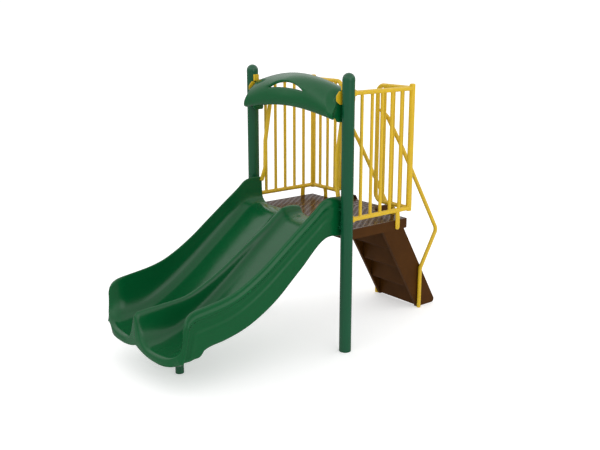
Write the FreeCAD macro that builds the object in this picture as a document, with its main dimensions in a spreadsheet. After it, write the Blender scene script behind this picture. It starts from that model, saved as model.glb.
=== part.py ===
import FreeCAD, Part

import math
import os
import re

import Sketcher
from FreeCAD import Rotation, Vector

# Free-standing double wave slide: two round posts carry a deck, a moulded two-lane slide on the
# -Y side, a stair on the +Y side, and pipe barriers on the other two sides. Millimetres, +Z up.
# The origin is on the ground under the middle of the whole object. The slide runs toward -Y.
# Stations are distances along Y from the plane of the two posts, which stands at post_station.

DOC = FreeCAD.newDocument("wave_slide")
SHEET = DOC.addObject("Spreadsheet::Sheet", "dimensions")

DIMENSIONS = {
    # posts
    "post_station": 49.75,
    "post_spacing": 1121.0,
    "post_radius": 44.45,
    "post_wall": 3.2,
    "post_height": 1980.0,
    # deck
    "deck_top": 914.0,
    "deck_thick": 5.0,
    "deck_half_width": 557.0,
    "deck_front": 16.0,
    "deck_rear": 613.0,
    "fascia_depth": 75.0,
    "fascia_thick": 5.0,
    "post_clearance": 4.6,
    # barriers
    "barrier_half_width": 563.0,
    "barrier_rear": 621.0,
    "rail_radius": 16.7,
    "bar_radius": 12.2,
    "corner_radius": 21.5,
    "top_rail_height": 1884.0,
    "bottom_rail_height": 991.0,
    "corner_above": 34.0,
    "corner_below": 22.0,
    "first_bar": 125.0,
    "bar_pitch": 97.5,
    "rear_bar_pitch": 92.8,
    "opening_half": 206.0,
    "hoop_bend": 62.0,
    "leg_width": 42.0,
    "leg_thick": 13.0,
    "leg_bottom": 842.0,
    "side_leg_station": 508.0,
    "rear_leg_station": 395.0,
    "clamp_length": 20.0,
    "clamp_radius": 24.0,
    # hood, crossbar and handholds
    "crossbar_station": 86.0,
    "crossbar_height": 1836.0,
    "ear_thick": 6.0,
    "hood_end_face": 503.0,
    "hood_end_thick": 26.0,
    "bracket_thick": 12.4,
    "bracket_width": 44.0,
    "bracket_base": 1901.0,
    "bracket_rise": 49.0,
    "handhold_radius": 16.0,
    "handhold_half_spacing": 428.0,
    # stair
    "stringer_face": 235.0,
    "stringer_flange": 26.0,
    "stringer_web": 6.0,
    "stringer_depth": 229.0,
    "stringer_foot": 1104.0,
    "stringer_top": 938.0,
    "stair_angle": 60.0,
    "step_rise": 182.8,
    "stringer_corner": 28.0,
    "riser_setback": 9.0,
    "riser_lift": 8.0,
    "landing_depth": 150.0,
    "landing_height": 908.0,
    "tread_depth": 190.0,
    "tread_thick": 5.0,
    "handrail_radius": 16.0,
    "handrail_half_spacing": 254.0,
    # slide
    "slide_half_width": 505.0,
    "crest_offset": 472.0,
    "lane_offset": 236.0,
    "slide_entry": 12.0,
    "slide_exit": -1412.0,
    "exit_corner_setback": 120.0,
    "mould_thick": 60.0,
    "foot_radius": 30.2,
    "foot_half_spacing": 130.0,
    "foot_station": -1149.0,
    "foot_height": 245.0,
    "spacer_radius": 13.0,
    "upper_spacer_rise": 150.0,
    "lower_spacer_rise": 20.0,
    "bolt_radius": 6.0,
    "bolt_head_radius": 14.0,
    "bolt_head": 7.0,
}

for row, (alias, number) in enumerate(DIMENSIONS.items(), start=1):
    SHEET.set(f"A{row}", alias)
    SHEET.set(f"B{row}", str(number))
    SHEET.setAlias(f"B{row}", alias)
DOC.recompute()

SIDES = {"right": 1, "left": -1}
EXPORTS = []


def dim(alias):
    return float(SHEET.get(alias))


def cells(expression):
    """Write an expression in sheet aliases as one that other objects can read."""
    return re.sub(r"[a-z][a-z_]*",
                  lambda word: f"dimensions.{word[0]}" if word[0] in DIMENSIONS else word[0], expression)


def bind(obj, **expressions):
    for name, expression in expressions.items():
        obj.setExpression(name.replace("__", "."), cells(expression))


def place(obj, x="0", y="0", z="0", rotation=None):
    """Bind an object's position to the sheet, and turn it if a rotation is given."""
    if rotation:
        obj.Placement.Rotation = rotation
    bind(obj, Placement__Base__x=x, Placement__Base__y=f"post_station + {y}", Placement__Base__z=z)
    return obj


def keep(obj, label):
    obj.Label = label
    EXPORTS.append(obj)
    return obj


def cylinder(name, radius, height):
    obj = DOC.addObject("Part::Cylinder", name)
    bind(obj, Radius=radius, Height=height)
    return obj


def box(name, length, width, height):
    obj = DOC.addObject("Part::Box", name)
    bind(obj, Length=length, Width=width, Height=height)
    return obj


def cut(name, base, tool):
    obj = DOC.addObject("Part::Cut", name)
    obj.Base = base
    obj.Tool = tool
    return obj


def fuse(name, shapes):
    obj = DOC.addObject("Part::MultiFuse", name)
    obj.Shapes = shapes
    return obj


def feature(name, shape):
    obj = DOC.addObject("Part::Feature", name)
    obj.Shape = shape
    return place(obj)


def new_sketch(body, name, role):
    plane = next(p for p in body.Origin.OriginFeatures if p.Role == role)
    sketch = body.newObject("Sketcher::SketchObject", name)
    sketch.AttachmentSupport = (plane, "")
    sketch.MapMode = "FlatFace"
    return sketch


def sketch_circle(sketch, radius):
    circle = sketch.addGeometry(Part.Circle(Vector(), Vector(0, 0, 1), 10.0))
    sketch.addConstraint(Sketcher.Constraint("Coincident", circle, 3, -1, 1))
    number = sketch.addConstraint(Sketcher.Constraint("Radius", circle, 10.0))
    sketch.setExpression(f"Constraints[{number}]", cells(radius))


def sketch_outline(sketch, points):
    """Draw a closed outline whose corners are pairs of expressions."""
    corners = [(SHEET.evalExpression(x), SHEET.evalExpression(y)) for x, y in points]
    corners = [Vector(float(x), float(y), 0) for x, y in corners]
    count = len(corners)
    for i in range(count):
        sketch.addGeometry(Part.LineSegment(corners[i], corners[(i + 1) % count]))
    for i in range(count):
        sketch.addConstraint(Sketcher.Constraint("Coincident", i, 2, (i + 1) % count, 1))
    for i, (x, y) in enumerate(points):
        for kind, expression, start in (("DistanceX", x, corners[i].x), ("DistanceY", y, corners[i].y)):
            number = sketch.addConstraint(Sketcher.Constraint(kind, -1, 1, i, 1, start))
            sketch.setExpression(f"Constraints[{number}]", cells(expression))


def pad(body, name, sketch, length, midplane=False):
    obj = body.newObject("PartDesign::Pad", name)
    obj.Profile = sketch
    obj.Midplane = midplane
    bind(obj, Length=length)
    return obj


def bent_pipe(points, bend, radius):
    """Round bar along straight runs joined by tangent arcs of one bend radius."""
    edges = []
    start = points[0]
    for before, corner, after in zip(points, points[1:], points[2:]):
        inward = (before - corner).normalize()
        outward = (after - corner).normalize()
        half_turn = (math.pi - inward.getAngle(outward)) / 2
        tangent = bend * math.tan(half_turn)
        arc_start = corner + inward * tangent
        arc_end = corner + outward * tangent
        bisector = (inward + outward).normalize()
        middle = corner + bisector * (bend / math.cos(half_turn) - bend)
        edges.append(Part.LineSegment(start, arc_start).toShape())
        edges.append(Part.Arc(arc_start, middle, arc_end).toShape())
        start = arc_end
    edges.append(Part.LineSegment(start, points[-1]).toShape())
    direction = points[1] - points[0]
    section = Part.Wire(Part.makeCircle(radius, points[0], direction))
    return Part.Wire(edges).makePipeShell([section], True, True)


def smooth(stations, position):
    """Height at a position on a smooth curve through (position, height) stations."""
    for i, ((x0, y0), (x1, y1)) in enumerate(zip(stations, stations[1:])):
        if min(x0, x1) <= position <= max(x0, x1):
            xa, ya = stations[max(i - 1, 0)]
            xb, yb = stations[min(i + 2, len(stations) - 1)]
            span = x1 - x0
            slope0 = (y1 - ya) / (x1 - xa) * span
            slope1 = (yb - y0) / (xb - x0) * span
            t = (position - x0) / span
            return ((2 * t**3 - 3 * t**2 + 1) * y0 + (t**3 - 2 * t**2 + t) * slope0
                    + (3 * t**2 - 2 * t**3) * y1 + (t**3 - t**2) * slope1)
    return stations[0][1] if abs(position - stations[0][0]) < abs(position - stations[-1][0]) \
        else stations[-1][1]


def surface_face(grid):
    surface = Part.BSplineSurface()
    surface.interpolate(grid)
    return surface.toShape()


def solid_between(upper, lower):
    """Closed solid between two grids of points that share the same rows and columns."""
    faces = [surface_face(upper), surface_face(lower)]
    borders = (
        (upper[0], lower[0]),
        (upper[-1], lower[-1]),
        ([row[0] for row in upper], [row[0] for row in lower]),
        ([row[-1] for row in upper], [row[-1] for row in lower]),
    )
    top_edges = faces[0].Edges
    low_edges = faces[1].Edges
    for top_row, low_row in borders:
        top = nearest_edge(top_edges, top_row)
        low = nearest_edge(low_edges, low_row)
        faces.append(Part.makeRuledSurface(top, low))
    shell = Part.makeShell(faces)
    shell.sewShape()
    solid = Part.makeSolid(shell)
    if solid.Volume < 0:
        solid.reverse()
    return solid


def nearest_edge(edges, row):
    middle = row[len(row) // 2]
    return min(edges, key=lambda edge: edge.distToShape(Part.Vertex(middle))[0]
               + edge.distToShape(Part.Vertex(row[0]))[0] + edge.distToShape(Part.Vertex(row[-1]))[0])


# --- posts ---------------------------------------------------------------------------------------

def make_post(side, sign):
    body = DOC.addObject("PartDesign::Body", f"{side}_post")
    sketch = new_sketch(body, f"{side}_post_section", "XY_Plane")
    sketch_circle(sketch, "post_radius")
    sketch_circle(sketch, "post_radius - post_wall")
    pad(body, f"{side}_post_tube", sketch, "post_height")
    place(body, x=f"{sign} * post_spacing / 2")
    return keep(body, f"{side}_post")


def make_cap(side, sign):
    """Domed cap: half a ball that closes the top of a post."""
    ball = DOC.addObject("Part::Sphere", f"{side}_cap_dome")
    bind(ball, Radius="post_radius")
    ball.Angle1 = 0
    place(ball, x=f"{sign} * post_spacing / 2", z="post_height")
    return keep(ball, f"{side}_post_cap")


for side, sign in SIDES.items():
    make_post(side, sign)
    make_cap(side, sign)


# --- deck ----------------------------------------------------------------------------------------

def post_clearance_tool():
    tools = []
    for side, sign in SIDES.items():
        tool = cylinder(f"{side}_post_clearance", "post_radius + post_clearance", "post_height")
        tools.append(place(tool, x=f"{sign} * post_spacing / 2"))
    return fuse("post_clearances", tools)


CLEARANCE = post_clearance_tool()
plate = box("deck_blank", "deck_half_width * 2", "deck_rear - deck_front", "deck_thick")
place(plate, x="-1 * deck_half_width", y="deck_front", z="deck_top - deck_thick")
keep(cut("deck_plate", plate, CLEARANCE), "deck_plate")

LONG = "deck_half_width * 2 - fascia_thick * 2"
SKIRT = "fascia_depth - deck_thick"
SKIRT_BASE = "deck_top - fascia_depth"
for label, station in (("front_fascia", "deck_front"), ("rear_fascia", "deck_rear - fascia_thick")):
    channel = box(f"{label}_blank", LONG, "fascia_thick", SKIRT)
    place(channel, x="fascia_thick - deck_half_width", y=station, z=SKIRT_BASE)
    keep(cut(label, channel, CLEARANCE), label)
for side, sign in SIDES.items():
    channel = box(f"{side}_fascia_blank", "fascia_thick", "deck_rear - deck_front", SKIRT)
    inner = "deck_half_width - fascia_thick" if sign > 0 else "-1 * deck_half_width"
    place(channel, x=inner, y="deck_front", z=SKIRT_BASE)
    keep(cut(f"{side}_fascia", channel, CLEARANCE), f"{side}_fascia")

# --- barriers ------------------------------------------------------------------------------------

ALONG_Y = Rotation(Vector(1, 0, 0), -90)
POST_BACK = "post_radius + clamp_length"


def rail(name, sign, height):
    tube = cylinder(name, "rail_radius", f"barrier_rear - ( {POST_BACK} )")
    return place(tube, x=f"{sign} * barrier_half_width", y=POST_BACK, z=height, rotation=ALONG_Y)


def make_rear_hoop(side, sign):
    """Bent pipe of the rear panel: top rail, inner upright and bottom rail in one piece."""
    wide = sign * dim("barrier_half_width")
    inner = sign * dim("opening_half")
    rear = dim("barrier_rear")
    top = dim("top_rail_height")
    low = dim("bottom_rail_height")
    path = [Vector(wide, rear, top), Vector(inner, rear, top),
            Vector(inner, rear, low), Vector(wide, rear, low)]
    return feature(f"{side}_rear_hoop_pipe", bent_pipe(path, dim("hoop_bend"), dim("rail_radius")))


def make_leg(side, sign, name, rear_panel):
    """Flattened leg with a round lower end, bolted flat against the deck's fascia."""
    body = DOC.addObject("PartDesign::Body", name)
    sketch = new_sketch(body, f"{name}_outline", "YZ_Plane")
    half = "leg_width / 2"
    sketch_outline(sketch, [(f"-1 * {half}", f"leg_bottom + {half}"), (half, f"leg_bottom + {half}"),
                            (half, "bottom_rail_height"), (f"-1 * {half}", "bottom_rail_height")])
    pad(body, f"{name}_bar", sketch, "leg_thick", midplane=True)
    end_sketch = new_sketch(body, f"{name}_end", "YZ_Plane")
    circle = end_sketch.addGeometry(Part.Circle(Vector(), Vector(0, 0, 1), dim("leg_width") / 2))
    end_sketch.addConstraint(Sketcher.Constraint("PointOnObject", circle, 3, -2))
    size = end_sketch.addConstraint(Sketcher.Constraint("Radius", circle, dim("leg_width") / 2))
    rise = end_sketch.addConstraint(Sketcher.Constraint("DistanceY", -1, 1, circle, 3, dim("leg_bottom")))
    end_sketch.setExpression(f"Constraints[{size}]", cells(half))
    end_sketch.setExpression(f"Constraints[{rise}]", cells(f"leg_bottom + {half}"))
    pad(body, f"{name}_round", end_sketch, "leg_thick", midplane=True)
    offset = "leg_thick / 2"
    if rear_panel:
        place(body, x=f"{sign} * rear_leg_station", y=f"deck_rear + {offset}",
              rotation=Rotation(Vector(0, 0, 1), 90))
    else:
        place(body, x=f"{sign} * ( deck_half_width + {offset} )", y="side_leg_station")
    return body


def make_clamp(side, sign, name, height):
    """Socket that holds the front end of a rail against the back of the post."""
    socket = cylinder(name, "clamp_radius", "clamp_length + post_radius")
    place(socket, x=f"{sign} * barrier_half_width", z=height, rotation=ALONG_Y)
    return cut(f"{name}_fitted", socket, posts_solid)


posts_solid = fuse("posts_solid", [
    place(cylinder(f"{side}_post_solid", "post_radius", "post_height"), x=f"{sign} * post_spacing / 2")
    for side, sign in SIDES.items()])

clamps = []
for side, sign in SIDES.items():
    corner = cylinder(f"{side}_corner_tube", "corner_radius",
                      "top_rail_height - bottom_rail_height + corner_above + corner_below")
    place(corner, x=f"{sign} * barrier_half_width", y="barrier_rear", z="bottom_rail_height - corner_below")
    keep(corner, f"{side}_corner_tube")

    top_rail = rail(f"{side}_top_rail_tube", sign, "top_rail_height")
    bottom_rail = rail(f"{side}_bottom_rail_tube", sign, "bottom_rail_height")
    keep(cut(f"{side}_top_rail", top_rail, corner), f"{side}_top_rail")
    keep(cut(f"{side}_bottom_rail", bottom_rail, corner), f"{side}_bottom_rail")
    rails = fuse(f"{side}_rails", [top_rail, bottom_rail])

    for number in range(5):
        bar = cylinder(f"{side}_bar_{number + 1}_rod", "bar_radius", "top_rail_height - bottom_rail_height")
        place(bar, x=f"{sign} * barrier_half_width", y=f"first_bar + {number} * bar_pitch",
              z="bottom_rail_height")
        keep(cut(f"{side}_bar_{number + 1}", bar, rails), f"{side}_bar_{number + 1}")

    hoop = make_rear_hoop(side, sign)
    keep(cut(f"{side}_rear_hoop", hoop, corner), f"{side}_rear_hoop")

    rear_bars = []
    for number in range(1, 4):
        bar = cylinder(f"{side}_rear_bar_{number}", "bar_radius", "top_rail_height - bottom_rail_height")
        place(bar, x=f"{sign} * ( barrier_half_width - {number} * rear_bar_pitch )", y="barrier_rear",
              z="bottom_rail_height")
        rear_bars.append(bar)
    keep(cut(f"{side}_rear_bars", fuse(f"{side}_rear_bar_set", rear_bars), hoop), f"{side}_rear_bars")

    side_leg = make_leg(side, sign, f"{side}_side_leg_bar", rear_panel=False)
    keep(cut(f"{side}_side_leg", side_leg, bottom_rail), f"{side}_side_leg")
    rear_leg = make_leg(side, sign, f"{side}_rear_leg_bar", rear_panel=True)
    keep(cut(f"{side}_rear_leg", rear_leg, hoop), f"{side}_rear_leg")

    for level in ("top", "bottom"):
        clamps.append(make_clamp(side, sign, f"{side}_{level}_clamp", f"{level}_rail_height"))
keep(fuse("rail_clamps", clamps), "rail_clamps")


# --- stair ---------------------------------------------------------------------------------------

def front_edge(height):
    """Station of the stringers' front edge at a height, as an expression."""
    return f"stringer_foot - ( {height} ) / tan( stair_angle * 1deg )"


def slanted_outline(sketch, inset):
    """Leaning bar whose upper end stands against the deck, drawn an inset inside the stringer's edge."""
    low = inset
    top = f"stringer_top - {inset}"
    shift = f"{inset} / sin( stair_angle * 1deg )"
    front_low = f"{front_edge(low)} + {shift}"
    front_top = f"{front_edge(top)} + {shift}"
    rear = f"stringer_depth - 2 * {shift}"
    bearing = f"deck_rear + {inset}"
    knee = f"( stringer_foot + {shift} - deck_rear - {inset} ) * tan( stair_angle * 1deg )"
    sketch_outline(sketch, [(front_low, low), (f"{front_low} + {rear}", low),
                            (f"{front_top} + {rear}", top), (bearing, top), (bearing, knee)])


def cross_edges(shape):
    """Names of the edges that run along X, with the mid-point of each."""
    found = []
    for number, edge in enumerate(shape.Edges, start=1):
        if abs(edge.tangentAt(edge.FirstParameter).x) > 0.99:
            found.append((f"Edge{number}", edge.CenterOfMass))
    return found


def make_stringer(side, sign):
    """Folded channel: a slanting web with a flange all round that points at the other stringer."""
    body = DOC.addObject("PartDesign::Body", f"{side}_stringer")
    outline = new_sketch(body, f"{side}_stringer_outline", "YZ_Plane")
    slanted_outline(outline, "0")
    blank = pad(body, f"{side}_stringer_blank", outline, "stringer_flange")
    DOC.recompute()
    rounded = body.newObject("PartDesign::Fillet", f"{side}_stringer_corners")
    top, foot = dim("stringer_top"), dim("stringer_foot")
    names = [name for name, middle in cross_edges(blank.Shape)
             if middle.z > top - 1 or middle.y > foot + 1]
    rounded.Base = (blank, names)
    bind(rounded, Radius="stringer_corner")
    inner = new_sketch(body, f"{side}_stringer_inner", "YZ_Plane")
    slanted_outline(inner, "stringer_web")
    offset = "0" if sign > 0 else "stringer_web"
    inner.setExpression("AttachmentOffset.Base.z", cells(offset))
    pocket = body.newObject("PartDesign::Pocket", f"{side}_stringer_hollow")
    pocket.Profile = inner
    pocket.Reversed = True
    bind(pocket, Length="stringer_flange - stringer_web")
    place(body, x="stringer_face - stringer_flange" if sign > 0 else "-1 * stringer_face")
    return keep(body, f"{side}_stringer")


for side, sign in SIDES.items():
    make_stringer(side, sign)

STEP_GAP = "stringer_face - stringer_web"
for number in range(4):
    level = f"{number + 1} * step_rise"
    below = f"{number} * step_rise"
    riser = box(f"riser_{number + 1}_sheet", f"2 * ( {STEP_GAP} )", "tread_thick", "step_rise - tread_thick")
    place(riser, x=f"-1 * ( {STEP_GAP} )", y=f"{front_edge(below)} + riser_setback",
          z=f"{below} + riser_lift")
    keep(riser, f"riser_{number + 1}")
    tread = box(f"tread_{number + 1}_sheet", f"2 * ( {STEP_GAP} )", "tread_depth", "tread_thick")
    place(tread, x=f"-1 * ( {STEP_GAP} )", y=f"{front_edge(level)} + riser_setback",
          z=f"{level} + riser_lift - tread_thick")
    keep(tread, f"tread_{number + 1}")

landing = box("landing_sheet", f"2 * ( {STEP_GAP} )", "landing_depth", "tread_thick")
place(landing, x=f"-1 * ( {STEP_GAP} )", y="deck_rear", z="landing_height - tread_thick")
keep(landing, "landing_step")


# The handrail's corners as (station, height), after it leaves the barrier's upright.
HANDRAIL_CORNERS = [(683, 1640), (858, 1377), (1286, 655), (1108, 345), (1108, 0)]
HANDRAIL_TOP = 1702.0
HANDRAIL_BEND = 55.0
UPRIGHT_OFFSET = Vector(8, 20, 0)


def make_handrail(side, sign):
    """Bent pipe: off the barrier's inner upright, down beside the stair, back in, then to the ground."""
    across = sign * dim("handrail_half_spacing")
    start = Vector(sign * (dim("opening_half") + UPRIGHT_OFFSET.x), dim("barrier_rear") + UPRIGHT_OFFSET.y,
                   HANDRAIL_TOP)
    path = [start] + [Vector(across, station, height) for station, height in HANDRAIL_CORNERS]
    pipe = bent_pipe(path, HANDRAIL_BEND, dim("handrail_radius"))
    return feature(f"{side}_handrail_pipe", pipe)


for side, sign in SIDES.items():
    handrail = make_handrail(side, sign)
    neighbours = DOC.getObject(f"{side}_rear_hoop_pipe")
    keep(cut(f"{side}_handrail", handrail, neighbours), f"{side}_handrail")


# --- slide ---------------------------------------------------------------------------------------

# Heights along the slide, each a list of (station, height) from the entry to the exit.
WALL_CREST = [(12, 1148), (-100, 1152), (-150, 1138), (-220, 1084), (-350, 990), (-500, 880),
              (-650, 770), (-800, 672), (-890, 640), (-990, 603), (-1175, 573), (-1290, 540)]
LANE_FLOOR = [(12, 938), (-110, 944), (-180, 914), (-300, 828), (-500, 672), (-700, 518),
              (-850, 415), (-990, 337), (-1120, 285), (-1280, 256), (-1412, 250)]
DIVIDER = [(12, 1006), (-120, 1008), (-300, 893), (-500, 764), (-780, 590), (-1000, 496),
           (-1180, 478), (-1412, 462)]
SIDE_HEM = [(12, 862), (-127, 874), (-376, 677), (-598, 494), (-813, 377), (-1018, 324),
            (-1174, 300), (-1292, 262)]
ACROSS = [-1, -0.97, -0.935, -0.9, -0.86, -0.81, -0.75, -0.67, -0.57, -0.467, -0.36, -0.26, -0.17,
          -0.1, -0.05, 0]
ACROSS = ACROSS + [-u for u in reversed(ACROSS[:-1])]
STATIONS = 26
SHOULDER_FALL = 70.0
LANE_FILLET_POWER = 5
BELLY_ARCH = 25.0


def slide_point(u, t):
    """Plan position of a grid point: the exit is one broad curve set back at the outer corners."""
    entry = dim("slide_entry")
    exit_line = dim("slide_exit") + dim("exit_corner_setback") * abs(u) ** 7
    return u * dim("slide_half_width"), entry + (exit_line - entry) * t


def slide_top(x, y):
    offset = abs(x)
    lane, crest = dim("lane_offset"), dim("crest_offset")
    floor = smooth(LANE_FLOOR, y)
    wall = smooth(WALL_CREST, y)
    if offset <= lane:
        share = (lane - offset) / lane
        return floor + (smooth(DIVIDER, y) - floor) * share**LANE_FILLET_POWER
    if offset <= crest:
        share = (offset - lane) / (crest - lane)
        return floor + (wall - floor) * share**LANE_FILLET_POWER
    share = (offset - crest) / (dim("slide_half_width") - crest)
    return wall - SHOULDER_FALL * share**2


def slide_bottom(x, y):
    offset = abs(x)
    lane, edge = dim("lane_offset"), dim("slide_half_width")
    belly = smooth(LANE_FLOOR, y) - dim("mould_thick")
    if offset <= lane:
        return belly + BELLY_ARCH * ((lane - offset) / lane) ** 2
    share = (offset - lane) / (edge - lane)
    return belly + (smooth(SIDE_HEM, y) - belly) * share**2.5


def make_slide():
    upper, lower = [], []
    for row in range(STATIONS):
        t = row / (STATIONS - 1)
        places = [slide_point(u, t) for u in ACROSS]
        upper.append([Vector(x, y, slide_top(x, y)) for x, y in places])
        lower.append([Vector(x, y, slide_bottom(x, y)) for x, y in places])
    return feature("slide_moulding", solid_between(upper, lower))


slide = keep(make_slide(), "slide_bedway")
for side, sign in SIDES.items():
    foot = cylinder(f"{side}_slide_foot_tube", "foot_radius", "foot_height")
    place(foot, x=f"{sign} * foot_half_spacing", y="foot_station")
    keep(cut(f"{side}_slide_foot", foot, slide), f"{side}_slide_foot")


# --- hood, crossbar and handholds ----------------------------------------------------------------

# Cross-section of the hood's outer skin, front lower edge to back edge: (station, share of height).
HOOD_SKIN = [(-96, 0.0), (-118, 0.10), (-130, 0.28), (-124, 0.52), (-104, 0.76), (-62, 0.94),
             (0, 1.0), (48, 0.97)]
HOOD_THICK = 34.0
HOOD_END_SKIN = [(-92, 0.0), (-116, 0.10), (-130, 0.25), (-112, 0.48), (-80, 0.72), (-42, 0.90),
                 (0, 1.0), (48, 0.97)]
HOOD_HALF = 503.0
HOOD_FLARE = 22.0
FLARE_STATION = -90
HOOD_ROWS = 15
END_LOW, LOW_RISE = 1702.0, 55.0
END_TOP, TOP_RISE = 1908.0, 86.0

# Lens-shaped opening: drawn in front of the hood and swept back and down through its face.
LENS_HALF = 190.0
LENS_STATION = -200.0
LENS_TIPS, LENS_TOP, LENS_BOTTOM = 1890.0, 1940.0, 1884.0
LENS_CUT = Vector(0, 260, -60)


def hood_grid(inset):
    grid = []
    for row in range(HOOD_ROWS):
        u = -1 + 2 * row / (HOOD_ROWS - 1)
        arch = math.cos(u * math.pi / 2)
        low = END_LOW + LOW_RISE * arch
        top = END_TOP + TOP_RISE * arch
        line = []
        toward_end = abs(u) ** 3
        skin = [(s0 + (s1 - s0) * toward_end, h0 + (h1 - h0) * toward_end)
                for (s0, h0), (s1, h1) in zip(HOOD_SKIN, HOOD_END_SKIN)]
        for number, (station, share) in enumerate(skin):
            before = skin[max(number - 1, 0)]
            after = skin[min(number + 1, len(skin) - 1)]
            along = Vector(0, after[0] - before[0], (after[1] - before[1]) * (top - low)).normalize()
            inward = Vector(0, along.z, -along.y)
            half = HOOD_HALF + (HOOD_FLARE if station < FLARE_STATION else 0)
            point = Vector(u * half, station, low + share * (top - low))
            line.append(point + inward * inset)
        grid.append(line)
    return grid


def make_hood():
    shell = feature("hood_shell", solid_between(hood_grid(0.0), hood_grid(HOOD_THICK)))
    left, right = (Vector(sign * LENS_HALF, LENS_STATION, LENS_TIPS) for sign in (-1, 1))
    crown = Vector(0, LENS_STATION, LENS_TOP)
    sill = Vector(0, LENS_STATION, LENS_BOTTOM)
    lens = Part.Wire([Part.Arc(left, crown, right).toShape(), Part.Arc(right, sill, left).toShape()])
    opening = feature("hood_opening", Part.Face(lens).extrude(LENS_CUT))
    return keep(cut("hood_cut", shell, opening), "hood")


hood = make_hood()

# End walls that close the hood beside the posts; each hangs a little below the skin.
HOOD_END = [("-88", "1716"), ("-98", "1790"), ("-76", "1842"), ("-40", "1876"), ("4", "1890"),
            ("44", "1886"), ("44", "1700"), ("40", "1682"), ("-36", "1682"), ("-48", "1708")]
for side, sign in SIDES.items():
    wall = DOC.addObject("PartDesign::Body", f"{side}_hood_end_blank")
    wall_sketch = new_sketch(wall, f"{side}_hood_end_outline", "YZ_Plane")
    sketch_outline(wall_sketch, HOOD_END)
    pad(wall, f"{side}_hood_end_plate", wall_sketch, "hood_end_thick")
    place(wall, x="hood_end_face - hood_end_thick" if sign > 0 else "-1 * hood_end_face")
    keep(cut(f"{side}_hood_end_fitted", wall, hood), f"{side}_hood_end")

EAR = [("-70", "1832"), ("-42", "1808"), ("78", "1794"), ("106", "1818"), ("106", "1854"),
       ("78", "1878"), ("-42", "1900"), ("-70", "1868")]
for side, sign in SIDES.items():
    ear = DOC.addObject("PartDesign::Body", f"{side}_hood_ear")
    ear_sketch = new_sketch(ear, f"{side}_ear_outline", "YZ_Plane")
    sketch_outline(ear_sketch, EAR)
    pad(ear, f"{side}_ear_plate", ear_sketch, "ear_thick")
    inner = "post_spacing / 2 - post_radius"
    place(ear, x=f"{inner} - ear_thick" if sign > 0 else f"-1 * ( {inner} )")
    keep(ear, f"{side}_hood_ear")

brackets = []
for side, sign in SIDES.items():
    bracket = box(f"{side}_bracket_block", "bracket_thick + post_wall * 3", "bracket_width", "bracket_rise")
    inner = "post_spacing / 2 - post_radius"
    place(bracket, x=f"{inner} - bracket_thick" if sign > 0 else f"-1 * ( {inner} ) - post_wall * 3",
          y="-1 * bracket_width / 2", z="bracket_base")
    brackets.append(cut(f"{side}_bracket", bracket, posts_solid))
keep(fuse("hood_brackets", brackets), "hood_brackets")

bar = cylinder("crossbar_tube", "rail_radius", "post_spacing - 2 * ( post_radius + ear_thick )")
place(bar, x="post_radius + ear_thick - post_spacing / 2", y="crossbar_station", z="crossbar_height",
      rotation=Rotation(Vector(0, 1, 0), 90))
crossbar = keep(bar, "crossbar")

# The handhold's corners as (station, height); its lower end enters the wall just inside the crest.
HANDHOLD_CORNERS = [(20, 1440), (16, 1225)]
HANDHOLD_END = (6, 1122)
HANDHOLD_BEND = 90.0
CREST_INSET = 8.0


def make_handhold(side, sign):
    """Bent pipe from the crossbar down to the rear edge of the slide's side wall."""
    across = sign * dim("handhold_half_spacing")
    path = [Vector(across, dim("crossbar_station"), dim("crossbar_height"))]
    path += [Vector(across, station, height) for station, height in HANDHOLD_CORNERS]
    path.append(Vector(sign * (dim("crest_offset") - CREST_INSET), *HANDHOLD_END))
    pipe = feature(f"{side}_handhold_pipe", bent_pipe(path, HANDHOLD_BEND, dim("handhold_radius")))
    return cut(f"{side}_handhold", cut(f"{side}_handhold_top", pipe, crossbar), slide)


for side, sign in SIDES.items():
    keep(make_handhold(side, sign), f"{side}_handhold")


# --- bolts ---------------------------------------------------------------------------------------

def bolt(name, x, y, z, sign, length):
    """Round-headed bolt along X; its head is on the side that the sign gives."""
    turn = Rotation(Vector(0, 1, 0), 90 * sign)
    shank = cylinder(f"{name}_shank", "bolt_radius", length)
    place(shank, x=x, y=y, z=z, rotation=turn)
    head = cylinder(f"{name}_head", "bolt_head_radius", "bolt_head")
    place(head, x=f"{x} + {sign} * ( {length} )", y=y, z=z, rotation=turn)
    return fuse(name, [shank, head])


leg_bolts = []
for side, sign in SIDES.items():
    start = f"{sign} * ( deck_half_width + leg_thick )"
    leg_bolts.append(bolt(f"{side}_leg_bolt", start, "side_leg_station", "leg_bottom + leg_width / 2",
                          sign, "1"))
keep(fuse("leg_bolts", leg_bolts), "leg_bolts")

spacers = []
for side, sign in SIDES.items():
    for level in ("upper", "lower"):
        spacer = cylinder(f"{side}_spacer_{level}_rod", "spacer_radius",
                          "post_spacing / 2 - post_radius - slide_half_width + post_wall * 2")
        place(spacer, x=f"{sign} * ( slide_half_width + 5 )", y="-1 * spacer_radius",
              z=f"deck_top + {level}_spacer_rise",
              rotation=Rotation(Vector(0, 1, 0), 90 * sign))
        spacers.append(cut(f"{side}_spacer_{level}", spacer, posts_solid))
keep(fuse("slide_spacers", spacers), "slide_spacers")


# --- check and export ----------------------------------------------------------------------------

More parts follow.
